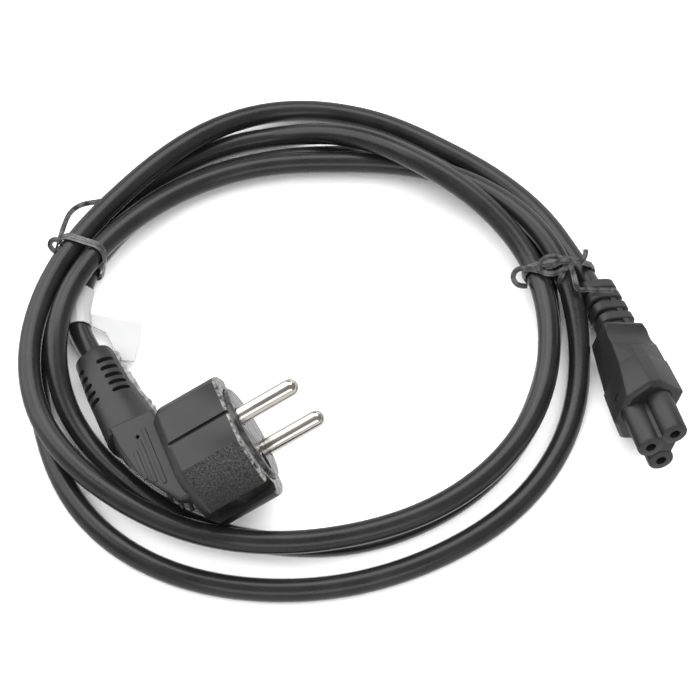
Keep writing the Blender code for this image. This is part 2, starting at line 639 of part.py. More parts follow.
def label_flag():
    """White label: a sleeve closed round the cord beside the plug, and its flag."""
    axis = [Vector(point) for point in PLUG_END_POINTS]
    inner = CORD_DIAMETER / 2 + CLEARANCE
    sleeve = tube("label_flag", axis, inner + LABEL_SLEEVE_THICKNESS, 4)
    longer = [axis[0] + (axis[0] - axis[1]).normalized() * 2.0] + axis[1:-1]
    longer.append(axis[-1] + (axis[-1] - axis[-2]).normalized() * 2.0)
    flag = flat_plate("flag", [FLAG_CORNERS], FLAG_THICKNESS)
    flag.data.transform(Matrix.Translation((0, 0, axis[0].z)))
    combine(sleeve, [flag], 'UNION')
    return combine(sleeve, [tube("bore", longer, inner, 4)], 'DIFFERENCE')


def build():
    clear_scene()
    collection = bpy.data.collections.new(COLLECTION_NAME)
    bpy.context.scene.collection.children.link(collection)
    world = Matrix.Identity(4)
    jacket = material("cord_jacket", (0.030, 0.030, 0.032), 0.38)
    moulding = material("moulding", (0.035, 0.035, 0.037), 0.50)
    gloss = material("gloss_insert", (0.020, 0.020, 0.022), 0.18)
    nickel = material("nickel", (0.72, 0.70, 0.66), 0.18, 1.0)
    brass = material("contact_brass", (0.50, 0.38, 0.17), 0.35, 1.0)
    wire_coat = material("tie_coat", (0.025, 0.025, 0.027), 0.35)
    paper = material("label_white", (0.80, 0.80, 0.80), 0.60)
    place(tube("cord", cord_points(), CORD_DIAMETER / 2, CORD_SIDES_RESOLUTION), world, jacket, collection)
    place(plug_body(), PLUG_POSE, moulding, collection)
    place(plug_insert(), PLUG_POSE, gloss, collection)
    place(pin("pin_upper", 1), PLUG_POSE, nickel, collection)
    place(pin("pin_lower", -1), PLUG_POSE, nickel, collection)
    place(earth_clip("earth_clip_cord_side", 1), PLUG_POSE, nickel, collection)
    place(earth_clip("earth_clip_far_side", -1), PLUG_POSE, nickel, collection)
    place(connector_body(), CONNECTOR_POSE, moulding, collection)
    place(connector_nose(), CONNECTOR_POSE, moulding, collection)
    for name, (y, z) in zip(("contact_head", "contact_upper", "contact_lower"), nose_places()):
        place(contact(name, y, z), CONNECTOR_POSE, brass, collection)
    place(tie("tie_left", TIE_ANGLES[0], LEFT_TAILS), world, wire_coat, collection)
    place(tie("tie_right", TIE_ANGLES[1], RIGHT_TAILS), world, wire_coat, collection)
    place(label_flag(), world, paper, collection)


build()
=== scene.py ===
import math

import bmesh
import bpy
import numpy as np
from mathutils import Matrix, Vector


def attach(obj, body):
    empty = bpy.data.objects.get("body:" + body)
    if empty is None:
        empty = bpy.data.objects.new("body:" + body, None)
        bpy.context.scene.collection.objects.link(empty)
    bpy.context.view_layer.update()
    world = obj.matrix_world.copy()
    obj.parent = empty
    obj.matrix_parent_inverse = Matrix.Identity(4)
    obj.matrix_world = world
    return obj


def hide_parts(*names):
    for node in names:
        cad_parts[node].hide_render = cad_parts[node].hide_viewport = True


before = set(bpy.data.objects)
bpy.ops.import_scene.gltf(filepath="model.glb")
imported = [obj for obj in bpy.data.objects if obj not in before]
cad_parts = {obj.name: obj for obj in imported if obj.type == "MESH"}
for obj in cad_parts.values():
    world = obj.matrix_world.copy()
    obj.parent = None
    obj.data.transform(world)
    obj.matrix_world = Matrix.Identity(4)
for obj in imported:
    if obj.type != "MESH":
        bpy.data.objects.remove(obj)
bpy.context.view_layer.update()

# Camera. It looks down at the coil from 60 degrees above the floor and 0.65 m away, along +Y,
# as the product photograph does.
LOOK_AT = Vector((0.001, -0.0023, 0.0))
VIEW_DISTANCE = 0.650
VIEW_ELEVATION = math.radians(60.0)
SENSOR_WIDTH = 36.0
LENS = 117.26
camera_data = bpy.data.cameras.new("camera")
camera_data.sensor_width = SENSOR_WIDTH
camera_data.lens = LENS
camera = bpy.data.objects.new("camera", camera_data)
bpy.context.scene.collection.objects.link(camera)
towards_camera = Vector((0.0, -math.cos(VIEW_ELEVATION), math.sin(VIEW_ELEVATION)))
camera.location = LOOK_AT + VIEW_DISTANCE * towards_camera
camera.rotation_euler = (math.pi / 2 - VIEW_ELEVATION, 0.0, 0.0)
bpy.context.scene.camera = camera

# Cord. A round three-core lead with a smooth black sheath, extruded in one length, lying in about
# three and a half loose turns. Its route is the solids' own, drawn as one smooth curve.
CORD_DIAMETER = 0.0064
COIL_CENTRE = Vector((-0.0115, -0.0023, 0.0))
FIRST_ANGLE = 20.0
ANGLE_STEP = 20.0
# The coil's distance from its middle and height above the floor, one pair for each step of the angle
COIL_STATIONS = [
    (0.0818, 0.0042), (0.0798, 0.0033), (0.0783, 0.0032), (0.0805, 0.0032), (0.0790, 0.0065),
    (0.0736, 0.0102), (0.0713, 0.0103), (0.0733, 0.0108), (0.0768, 0.0102), (0.0776, 0.0098),
    (0.0734, 0.0097), (0.0694, 0.0101), (0.0670, 0.0120), (0.0644, 0.0103), (0.0650, 0.0099),
    (0.0668, 0.0098), (0.0683, 0.0099), (0.0685, 0.0103), (0.0680, 0.0108), (0.0648, 0.0143),
    (0.0630, 0.0162), (0.0672, 0.0118), (0.0720, 0.0035), (0.0720, 0.0033), (0.0730, 0.0039),
    (0.0750, 0.0042), (0.0759, 0.0036), (0.0771, 0.0032), (0.0800, 0.0032), (0.0796, 0.0032),
    (0.0769, 0.0032), (0.0753, 0.0032), (0.0754, 0.0032), (0.0772, 0.0032), (0.0780, 0.0032),
    (0.0772, 0.0060), (0.0757, 0.0106), (0.0715, 0.0102), (0.0660, 0.0083), (0.0606, 0.0076),
    (0.0590, 0.0084), (0.0598, 0.0093), (0.0622, 0.0102), (0.0663, 0.0112), (0.0698, 0.0108),
    (0.0694, 0.0052), (0.0657, 0.0032), (0.0640, 0.0032), (0.0628, 0.0032), (0.0633, 0.0032),
    (0.0642, 0.0032), (0.0657, 0.0032), (0.0672, 0.0033), (0.0693, 0.0038), (0.0719, 0.0042),
    (0.0728, 0.0034), (0.0702, 0.0032), (0.0658, 0.0032), (0.0639, 0.0032), (0.0646, 0.0033),
    (0.0660, 0.0038), (0.0673, 0.0042),
]
CONNECTOR_EXIT = Vector((0.070169, 0.014970, 0.005159))
CONNECTOR_WAY = Vector((-0.34080, 0.92587, -0.16313))
PLUG_EXIT = Vector((-0.071006, -0.008411, 0.005503))
PLUG_WAY = Vector((-0.45307, 0.87688, -0.16068))
BESIDE_PLUG = [
    Vector((-0.0762, 0.0149, 0.0041)),
    Vector((-0.0769, 0.0087, 0.0040)),
    Vector((-0.0762, 0.0025, 0.0042)),
]
INTO_RELIEF = 0.0016
STRAIGHT_RUN = 0.0045
ROUTE_ANGLE = 10.0
ROUTE_SPACING = 0.003
SHEATH_ROUNDNESS = 6
GRAIN_DETAIL = 3.0
PATCH_DETAIL = 4.0
PATCH_LOW = 0.35
PATCH_HIGH = 0.75
BUMP_STRENGTH = 1.0


def cubic_through(knots, values):
    """Natural cubic spline through values at rising knots, as a function of the place along them."""
    knots = np.array(knots, float)
    values = np.array(values, float)
    gaps = np.diff(knots)
    count = len(knots)
    rows = np.eye(count)
    right = np.zeros_like(values)
    for i in range(1, count - 1):
        rows[i, i - 1:i + 2] = (gaps[i - 1], 2 * (gaps[i - 1] + gaps[i]), gaps[i])
        right[i] = 6 * ((values[i + 1] - values[i]) / gaps[i] - (values[i] - values[i - 1]) / gaps[i - 1])
    bend = np.linalg.solve(rows, right)

    def at(place):
        i = int(np.clip(np.searchsorted(knots, place) - 1, 0, count - 2))
        u = (place - knots[i]) / gaps[i]
        v = 1 - u
        return (v * values[i] + u * values[i + 1]
                + gaps[i] ** 2 * ((v ** 3 - v) * bend[i] + (u ** 3 - u) * bend[i + 1]) / 6)
    return at


def smooth_route(points, spacing):
    """Evenly spaced points on one smooth curve through the given ones."""
    points = np.array([tuple(point) for point in points])
    knots = np.concatenate(([0.0], np.cumsum(np.linalg.norm(np.diff(points, axis=0), axis=1))))
    curve = cubic_through(knots, points)
    return [Vector(curve(place)) for place in np.linspace(0.0, knots[-1], int(knots[-1] / spacing) + 2)]


station = cubic_through(range(len(COIL_STATIONS)), COIL_STATIONS)
last_angle = FIRST_ANGLE + ANGLE_STEP * (len(COIL_STATIONS) - 1)
route = [CONNECTOR_EXIT - CONNECTOR_WAY * INTO_RELIEF, CONNECTOR_EXIT + CONNECTOR_WAY * STRAIGHT_RUN]
for degrees in np.arange(FIRST_ANGLE, last_angle + 1.0, ROUTE_ANGLE):
    radius, height = station((degrees - FIRST_ANGLE) / ANGLE_STEP)
    angle = math.radians(degrees)
    route.append(COIL_CENTRE + Vector((radius * math.cos(angle), radius * math.sin(angle),
                                       max(height, CORD_DIAMETER / 2))))
route += BESIDE_PLUG + [PLUG_EXIT + PLUG_WAY * STRAIGHT_RUN, PLUG_EXIT - PLUG_WAY * INTO_RELIEF]
cord_route = smooth_route(route, ROUTE_SPACING)
for point in cord_route:
    point.z = max(point.z, CORD_DIAMETER / 2)


def open_curve(name, points, half_thickness, resolution):
    """A round tube along the points, as a curve object with closed ends."""
    curve = bpy.data.curves.new(name, 'CURVE')
    curve.dimensions = '3D'
    curve.bevel_depth = half_thickness
    curve.bevel_resolution = resolution
    curve.use_fill_caps = True
    spline = curve.splines.new('POLY')
    spline.points.add(len(points) - 1)
    for slot, point in zip(spline.points, points):
        slot.co = (*point, 1.0)
    made = bpy.data.objects.new(name, curve)
    bpy.context.scene.collection.objects.link(made)
    return made


def plain_shader(name, colour, roughness, metallic=0.0):
    """A new material with its Principled shader set to plain values."""
    made = bpy.data.materials.new(name)
    made.use_nodes = True
    shader = made.node_tree.nodes["Principled BSDF"]
    shader.inputs["Base Color"].default_value = (*colour, 1.0)
    shader.inputs["Roughness"].default_value = roughness
    shader.inputs["Metallic"].default_value = metallic
    return made


def surface_group():
    """Shared finish of the mouldings: fine grain, patches of duller gloss, and patches of a second colour,
    greying dust on some parts and painted light on others.
    """
    group = bpy.data.node_groups.new("moulded_surface", 'ShaderNodeTree')
    for name, kind in (("Position", 'NodeSocketVector'), ("Grain Size", 'NodeSocketFloat'),
                       ("Patch Size", 'NodeSocketFloat'), ("Colour", 'NodeSocketColor'),
                       ("Dust And Painted Light Colour", 'NodeSocketColor'), ("Dust And Painted Light", 'NodeSocketFloat'),
                       ("Least Roughness", 'NodeSocketFloat'), ("Mottle", 'NodeSocketFloat')):
        group.interface.new_socket(name=name, in_out='INPUT', socket_type=kind)
    for name, kind in (("Colour", 'NodeSocketColor'), ("Roughness", 'NodeSocketFloat'),
                       ("Height", 'NodeSocketFloat')):
        group.interface.new_socket(name=name, in_out='OUTPUT', socket_type=kind)
    nodes = group.nodes
    links = group.links
    inputs = nodes.new('NodeGroupInput')
    outputs = nodes.new('NodeGroupOutput')
    grain = nodes.new('ShaderNodeTexNoise')
    grain.inputs["Detail"].default_value = GRAIN_DETAIL
    links.new(inputs.outputs["Position"], grain.inputs["Vector"])
    links.new(inputs.outputs["Grain Size"], grain.inputs["Scale"])
    links.new(grain.outputs["Fac"], outputs.inputs["Height"])
    slow = nodes.new('ShaderNodeTexNoise')
    slow.inputs["Detail"].default_value = PATCH_DETAIL
    links.new(inputs.outputs["Patch Size"], slow.inputs["Scale"])
    links.new(inputs.outputs["Position"], slow.inputs["Vector"])
    spread = nodes.new('ShaderNodeMapRange')
    spread.inputs["From Min"].default_value = PATCH_LOW
    spread.inputs["From Max"].default_value = PATCH_HIGH
    links.new(slow.outputs["Fac"], spread.inputs["Value"])
    dust_and_painted_light_share = nodes.new('ShaderNodeMath')
    dust_and_painted_light_share.operation = 'MULTIPLY'
    links.new(spread.outputs["Result"], dust_and_painted_light_share.inputs[0])
    links.new(inputs.outputs["Dust And Painted Light"], dust_and_painted_light_share.inputs[1])
    mix = nodes.new('ShaderNodeMix')
    mix.data_type = 'RGBA'
    links.new(dust_and_painted_light_share.outputs["Value"], mix.inputs["Factor"])
    links.new(inputs.outputs["Colour"], mix.inputs["A"])
    links.new(inputs.outputs["Dust And Painted Light Colour"], mix.inputs["B"])
    links.new(mix.outputs["Result"], outputs.inputs["Colour"])
    swing = nodes.new('ShaderNodeMath')
    swing.operation = 'MULTIPLY_ADD'
    links.new(slow.outputs["Fac"], swing.inputs[0])
    links.new(inputs.outputs["Mottle"], swing.inputs[1])
    links.new(inputs.outputs["Least Roughness"], swing.inputs[2])
    links.new(swing.outputs["Value"], outputs.inputs["Roughness"])
    return group


moulded_surface = surface_group()


def moulded_look(name, colour, dust_and_painted_light_colour, dust_and_painted_light, roughness, mottle, grain_size, grain_depth,
                 patch_size=90.0, painted_shade_heights=None):
    """A moulding's finish: the shared surface group, a shallow grain, and dust, which can be faded out lower
    down as painted shade.
    """
    made = plain_shader(name, colour, roughness)
    nodes = made.node_tree.nodes
    links = made.node_tree.links
    shader = nodes["Principled BSDF"]
    place = nodes.new('ShaderNodeTexCoord')
    finish = nodes.new('ShaderNodeGroup')
    finish.node_tree = moulded_surface
    finish.inputs["Grain Size"].default_value = grain_size
    finish.inputs["Colour"].default_value = (*colour, 1.0)
    finish.inputs["Dust And Painted Light Colour"].default_value = (*dust_and_painted_light_colour, 1.0)
    finish.inputs["Dust And Painted Light"].default_value = dust_and_painted_light
    finish.inputs["Least Roughness"].default_value = roughness
    finish.inputs["Mottle"].default_value = mottle
    finish.inputs["Patch Size"].default_value = patch_size
    # Painted shade: the grey patches fade out between two heights, so the surface is lighter on top and
    # darker lower down, as light falls on it.
    if painted_shade_heights:
        heights = nodes.new('ShaderNodeSeparateXYZ')
        painted_shade_fade = nodes.new('ShaderNodeMapRange')
        painted_shade_fade.inputs["From Min"].default_value = painted_shade_heights[0]
        painted_shade_fade.inputs["From Max"].default_value = painted_shade_heights[1]
        painted_shade_fade.inputs["To Max"].default_value = dust_and_painted_light
        links.new(place.outputs["Object"], heights.inputs["Vector"])
        links.new(heights.outputs["Z"], painted_shade_fade.inputs["Value"])
        links.new(painted_shade_fade.outputs["Result"], finish.inputs["Dust And Painted Light"])
    bump = nodes.new('ShaderNodeBump')
    bump.inputs["Strength"].default_value = BUMP_STRENGTH
    bump.inputs["Distance"].default_value = grain_depth
    links.new(place.outputs["Object"], finish.inputs["Position"])
    links.new(finish.outputs["Colour"], shader.inputs["Base Color"])
    links.new(finish.outputs["Roughness"], shader.inputs["Roughness"])
    links.new(finish.outputs["Height"], bump.inputs["Height"])
    links.new(bump.outputs["Normal"], shader.inputs["Normal"])
    return made


cord_look = moulded_look(
    "cord_sheath", colour=(0.007, 0.007, 0.0075), dust_and_painted_light_colour=(0.018, 0.0175, 0.017), dust_and_painted_light=0.5,
    roughness=0.22, mottle=0.12, grain_size=700.0, grain_depth=0.00003)
cord = open_curve("cord_sheath", cord_route, CORD_DIAMETER / 2, SHEATH_ROUNDNESS)
cord.data.materials.append(cord_look)
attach(cord, "root")
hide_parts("cord")

# Plug body. Head, sloping back and slotted strain relief in one black moulding, cast round the pins and
# the cord. The head has a guide groove on each flat and a slot for an earth clip on each side, and its
# round sides are finely textured.
MM = 0.001
FRAME_SHIFT = Vector((1.0, -2.3, 0.0))
PLUG_ORIGIN = Vector((-26.94, -38.83, 22.1))
PLUG_X = Vector((0.8633, 0.3824, 0.3293))
PLUG_Y = Vector((-0.3613, 0.9239, -0.1256))
HEAD_RADIUS = 18.2
HEAD_BACK = -20.6
HEAD_FLAT = 15.2
# Place along the pins, inset of the edge and sideways offset of each ring of the head
HEAD_RINGS = [
    (0.0, 0.8, 0.0), (-0.25, 0.3, 0.0), (-0.8, 0.0, 0.0), (-17.2, 0.0, 0.0), (-17.8, 0.12, 0.0),
    (-18.3, 0.5, 0.1), (-20.0, 2.2, 0.6), (-20.4, 2.8, 0.75), (HEAD_BACK, 3.4, 0.8),
]
BACK_HALF = 9.0
HOUSING_TOP = [(-20.1, 17.0), (-32.9, 18.5), (-32.1, 10.1), (-30.1, 0.1), (-22.5, -13.3), (-17.5, -13.3)]
HOUSING_MIDDLE = [(-20.1, 18.2), (-37.0, 22.0), (-34.6, 11.5), (-31.2, 4.0), (-24.5, -8.5), (-17.5, -13.0)]
HOUSING_BOTTOM = [(-20.1, 16.0), (-31.5, 17.5), (-30.0, 10.0), (-26.0, 3.0), (-20.0, -6.0), (-17.5, -9.0)]
HOUSING_EDGE = 0.6
HOUSING_SHARP = 15.0
EDGE_STEPS = 3
OVERCUT = 1.0
BACK_OVERCUT = 0.2
GROOVE_WIDTH = 1.2
GROOVE_DEPTH = 0.9
GROOVE_Y = -0.5
TEXTURE_BELOW = -9.0
TEXTURE_BACK = -17.3
TEXTURE_FRONT = -0.5
ROUND_TOLERANCE = 0.3
ROUND_SLOPE = 0.2
RIM_SLOPE = 0.3
RIM_DEPTH = 0.9
CLIP_SLOT_WIDTH = 6.4
CLIP_SLOT_DEPTH = 3.0
INSERT_RADIUS = 13.6
INSERT_SUNK = 4.0
INSERT_GAP = 0.3
EARTH_HOLE_RADIUS = 2.6
EARTH_HOLE_OFFSET = 10.0
EARTH_HOLE_DEPTH = 15.0
RELIEF_ROOT = Vector((-28.7, 17.0, 0.0))
RELIEF_MIDDLE = Vector((-31.3, 36.0, 0.0))
RELIEF_TIP = Vector((-31.86, 48.6, 0.0))
RELIEF_WAY = Vector((-0.1087, 0.9941, 0.0))
RELIEF_ROOT_HALF = (8.2, 8.8)
RELIEF_MIDDLE_HALF = (6.5, 5.9)
RELIEF_TIP_HALF = (5.75, 5.05)
RELIEF_TIP_EDGE = [(0.9, 0.0), (0.3, 0.25), (0.0, 0.75)]
CORD_BORE_DEPTH = 1.9
CORD_BORE_PAST = 2.0
SLOT_WIDTH = 1.5
SLOT_FLOOR = 2.6
SLOT_TOP = 9.0
SLOT_CORNER = 0.7
SLOT_RIGHT = 6.6
SLOT_LEFT = 7.4
SPINE_HALF = 2.1
RELIEF_SLOTS = [30.8 + 3.05 * i for i in range(5)]
SPINE_PLACE = -30.95
SPINE_SLOPE = -0.127
HOUSING_BARS = [(-24.3, 12.6, -6.4), (-26.6, 10.0, -4.6), (-28.7, 7.6, -2.2)]
BAR_HALF_WIDTH = 0.65
BAR_RAISED = 0.28
BAR_SUNK = 0.6
BAR_EDGE = 0.26
GATE_MARK = (-26.6, 11.2)
GATE_MARK_RADIUS = 0.6
GATE_MARK_DEPTH = 1.5


def pose_of(origin, x_axis, y_axis):
    """From a piece's own frame in millimetres to the scene in metres."""
    x_axis = x_axis.normalized()
    y_axis = (y_axis - x_axis * y_axis.dot(x_axis)).normalized()
    turn = Matrix((x_axis, y_axis, x_axis.cross(y_axis))).transposed().to_4x4()
    return Matrix.Scale(MM, 4) @ Matrix.Translation(FRAME_SHIFT + origin) @ turn


def solid_from(name, bm):
    """Puts a bmesh in the scene as an object, still in its own frame."""
    bm.normal_update()
    bmesh.ops.recalc_face_normals(bm, faces=bm.faces)
    mesh = bpy.data.meshes.new(name)
    bm.to_mesh(mesh)
    bm.free()
    made = bpy.data.objects.new(name, mesh)
    bpy.context.scene.collection.objects.link(made)
    return made


def hull_of(name, points, edge=0.0, segments=2, sharp=25.0):
    """One convex solid round the points, with its sharp edges rounded."""
    bm = bmesh.new()
    for point in points:
        bm.verts.new(point)
    result = bmesh.ops.convex_hull(bm, input=bm.verts)
    loose = {item for item in result["geom_interior"] + result["geom_unused"]
             if isinstance(item, bmesh.types.BMVert)}
    bmesh.ops.delete(bm, geom=list(loose), context='VERTS')
    bmesh.ops.dissolve_limit(bm, angle_limit=math.radians(1.0), verts=bm.verts, edges=bm.edges)
    if edge:
        bm.normal_update()
        sharp_edges = [e for e in bm.edges if e.calc_face_angle(0.0) > math.radians(sharp)]
        bmesh.ops.bevel(bm, geom=sharp_edges, offset=edge, offset_type='OFFSET', segments=segments,
                        profile=0.5, affect='EDGES', material=-1, clamp_overlap=True)
    return solid_from(name, bm)


def rod_of(name, radius, start, end, sides=48):
    """A cylinder between two points."""
    start = Vector(start)
    end = Vector(end)
    bm = bmesh.new()
    bmesh.ops.create_cone(bm, cap_ends=True, segments=sides, radius1=radius, radius2=radius,
                          depth=(end - start).length)
    turn = (end - start).to_track_quat('Z', 'Y').to_matrix().to_4x4()
    bm.transform(Matrix.Translation((start + end) / 2) @ turn)
    return solid_from(name, bm)


def block_of(name, low, high, edge=0.0, segments=3):
    """A box between two corners, with rounded edges."""
    low = Vector(low)
    high = Vector(high)
    bm = bmesh.new()
    bmesh.ops.create_cube(bm, size=1.0)
    bm.transform(Matrix.Translation((low + high) / 2) @ Matrix.Diagonal((*(high - low), 1.0)))
    if edge:
        bmesh.ops.bevel(bm, geom=list(bm.edges), offset=edge, offset_type='OFFSET', segments=segments,
                        profile=0.5, affect='EDGES', material=-1, clamp_overlap=True)
    return solid_from(name, bm)


def carve(target, others, operation='DIFFERENCE'):
    """Cuts solids from the target, or joins them to it, and removes them."""
    for other in others:
        step = target.modifiers.new("step", 'BOOLEAN')
        step.solver = 'EXACT'
        step.operation = operation
        step.object = other
        graph = bpy.context.evaluated_depsgraph_get()
        mesh = bpy.data.meshes.new_from_object(target.evaluated_get(graph))
        target.modifiers.clear()
        target.data = mesh
        bpy.data.objects.remove(other)
    return target


def seat(piece, pose, looks, pick=None, smooth=32.0):
    """Moves a finished solid to its place in the scene and gives it its finish."""
    if pick:
        chosen = [pick(face) for face in piece.data.polygons]
    piece.data.transform(pose)
    piece.data.materials.clear()
    for look in looks:
        piece.data.materials.append(look)
    if pick:
        for face, index in zip(piece.data.polygons, chosen):
            face.material_index = index
    piece.data.shade_smooth()
    piece.data.set_sharp_from_angle(angle=math.radians(smooth))
    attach(piece, "root")
    return piece


def flatted_ring(x, radius, flat, offset=0.0, sides=96):
    """Section of the head at x: a circle with a flat above and below."""
    limit = math.asin(flat / radius)
    half = sides // 2
    return [(x, offset + radius * math.cos(start + 2 * limit * i / half),
             radius * math.sin(start + 2 * limit * i / half))
            for start in (-limit, math.pi - limit) for i in range(half + 1)]


def squared_oval(centre, across, half_width, half_height, sides=48, square=2.6):
    """Section of the strain relief: a squared oval."""
    section = []
    for i in range(sides):
        cosine = math.cos(2 * math.pi * i / sides)
        sine = math.sin(2 * math.pi * i / sides)
        u = half_width * math.copysign(abs(cosine) ** (2 / square), cosine)
        v = half_height * math.copysign(abs(sine) ** (2 / square), sine)
        section.append(centre + across * u + Vector((0.0, 0.0, v)))
    return section


plug_pose = pose_of(PLUG_ORIGIN, PLUG_X, PLUG_Y)
moulding = moulded_look(
    "moulding", colour=(0.010, 0.010, 0.0105), dust_and_painted_light_colour=(0.022, 0.0215, 0.021), dust_and_painted_light=0.5,
    roughness=0.36, mottle=0.12, grain_size=1800.0, grain_depth=0.00002)
# The textured sides' grey patches are partly dust. Their fading out towards the bottom is painted shade:
# lighter on top, darker below.
texture = moulded_look(
    "textured_moulding", colour=(0.007, 0.007, 0.0075), dust_and_painted_light_colour=(0.062, 0.061, 0.060), dust_and_painted_light=1.0,
    roughness=0.42, mottle=0.10, grain_size=1300.0, grain_depth=0.00010, patch_size=2200.0,
    painted_shade_heights=(0.016, 0.034))
texture.node_tree.nodes["Principled BSDF"].inputs["Specular IOR Level"].default_value = 0.2
# The rim of the plug's face is black with large light grey patches: a painted highlight where the rim looks
# lit.
rim_painted_highlight_look = moulded_look(
    "rim_painted_highlight", colour=(0.012, 0.012, 0.012), dust_and_painted_light_colour=(0.300, 0.298, 0.290), dust_and_painted_light=1.0,
    roughness=0.22, mottle=0.10, grain_size=900.0, grain_depth=0.00030, patch_size=650.0)
plug_body = hull_of("plug_body", [
    point for x, inset, offset in HEAD_RINGS
    for point in flatted_ring(x, HEAD_RADIUS - inset, HEAD_FLAT - inset, offset)])
housing_points = [(x, y, BACK_HALF) for x, y in HOUSING_TOP]
housing_points += [(x, y, 0.0) for x, y in HOUSING_MIDDLE]
housing_points += [(x, y, -BACK_HALF) for x, y in HOUSING_BOTTOM]
housing = hull_of("housing", housing_points, HOUSING_EDGE, EDGE_STEPS, HOUSING_SHARP)
across_root = Vector((1.0, 0.0, 0.0))
across_tip = Vector((RELIEF_WAY.y, -RELIEF_WAY.x, 0.0))
middle_section = squared_oval(RELIEF_MIDDLE, across_tip, *RELIEF_MIDDLE_HALF)
upper_relief = hull_of("upper_relief",
                       squared_oval(RELIEF_ROOT, across_root, *RELIEF_ROOT_HALF) + middle_section)
tip_sections = [point for back, inset in RELIEF_TIP_EDGE
                for point in squared_oval(RELIEF_TIP - RELIEF_WAY * back, across_tip,
                                          RELIEF_TIP_HALF[0] - inset, RELIEF_TIP_HALF[1] - inset)]
lower_relief = hull_of("lower_relief", middle_section + tip_sections)
carve(plug_body, [housing, upper_relief, lower_relief], 'UNION')
bars = []
for x, start, end in HOUSING_BARS:
    for side in (1, -1):
        span = sorted((side * (BACK_HALF - BAR_SUNK), side * (BACK_HALF + BAR_RAISED)))
        bars.append(block_of("bar", (x - BAR_HALF_WIDTH, end, span[0]),
                             (x + BAR_HALF_WIDTH, start, span[1]), BAR_EDGE))
carve(plug_body, bars, 'UNION')
cutters = [
    rod_of("recess", INSERT_RADIUS + INSERT_GAP, (-INSERT_SUNK - INSERT_GAP, 0, 0), (OVERCUT, 0, 0), 72),
    rod_of("gate_mark", GATE_MARK_RADIUS, (*GATE_MARK, BACK_HALF - GATE_MARK_DEPTH),
           (*GATE_MARK, BACK_HALF + OVERCUT), 24),
]
for side in (1, -1):
    groove = sorted((side * (HEAD_FLAT - GROOVE_DEPTH), side * (HEAD_FLAT + OVERCUT)))
    cutters.append(block_of("groove", (HEAD_BACK - BACK_OVERCUT, GROOVE_Y - GROOVE_WIDTH / 2, groove[0]),
                            (OVERCUT, GROOVE_Y + GROOVE_WIDTH / 2, groove[1])))
    slot = sorted((side * (HEAD_RADIUS - CLIP_SLOT_DEPTH), side * (HEAD_RADIUS + OVERCUT)))
    cutters.append(block_of("clip_slot", (HEAD_BACK - BACK_OVERCUT, slot[0], -CLIP_SLOT_WIDTH / 2),
                            (OVERCUT, slot[1], CLIP_SLOT_WIDTH / 2)))
cutters.append(rod_of("earth_hole", EARTH_HOLE_RADIUS, (-EARTH_HOLE_DEPTH, -EARTH_HOLE_OFFSET, 0),
                      (0, -EARTH_HOLE_OFFSET, 0), 32))
cutters.append(rod_of("cord_bore", CORD_DIAMETER / MM / 2 + INSERT_GAP,
                      RELIEF_TIP - RELIEF_WAY * CORD_BORE_DEPTH,
                      RELIEF_TIP + RELIEF_WAY * CORD_BORE_PAST, 32))
for y in RELIEF_SLOTS:
    spine = SPINE_PLACE + SPINE_SLOPE * (y - RELIEF_SLOTS[0])
    for side in (1, -1):
        span = sorted((side * SLOT_FLOOR, side * SLOT_TOP))
        cutters.append(block_of("slot_right", (spine + SPINE_HALF, y - SLOT_WIDTH / 2, span[0]),
                                (spine + SLOT_RIGHT, y + SLOT_WIDTH / 2, span[1]), SLOT_CORNER))
        cutters.append(block_of("slot_left", (spine - SLOT_LEFT, y - SLOT_WIDTH / 2, span[0]),
                                (spine - SPINE_HALF, y + SLOT_WIDTH / 2, span[1]), SLOT_CORNER))
carve(plug_body, cutters)


def head_finish(face):
    """Which finish a face has: 2 on the bare rim of the plug's face, 1 on the textured sides, 0 elsewhere."""
    centre = face.center
    if face.normal.x > RIM_SLOPE and centre.x > -RIM_DEPTH:
        return 2
    on_round = math.hypot(centre.y, centre.z) > HEAD_RADIUS - ROUND_TOLERANCE
    along_side = abs(face.normal.x) < ROUND_SLOPE and TEXTURE_BACK < centre.x < TEXTURE_FRONT
    return 1 if on_round and along_side and centre.y < TEXTURE_BELOW else 0


seat(plug_body, plug_pose, [moulding, texture, rim_painted_highlight_look], head_finish)
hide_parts("plug_body")

# Mould flash. A thin ragged fin of the moulding, squeezed out along the parting line on the outer edge of the
# plug's strain relief. Its colour is a painted highlight, grey with light grey patches, where the ridged edge
# catches the light.
FLASH_INNER = [(-26.3, 48.2), (-25.3, 38.8), (-24.2, 32.0), (-22.6, 25.0), (-21.4, 18.6)]
FLASH_FROM = 18.8
FLASH_TO = 48.0
FLASH_STEPS = 30
FLASH_REACH = 1.7
FLASH_RAGGED = 0.35
FLASH_TIP = 48.3
FLASH_TAPER = 1.5
FLASH_SUNK = 0.8
FLASH_ROOT_HALF = 0.1
FLASH_EDGE_HALF = 0.05
FLASH_WAVE = 0.25
FLASH_WAVE_RATE = 0.9
FLASH_SEED = 7
flash_edge = cubic_through([y for x, y in FLASH_INNER][::-1], [(x,) for x, y in FLASH_INNER][::-1])
random_reach = np.random.default_rng(FLASH_SEED)
bm = bmesh.new()
last_row = None
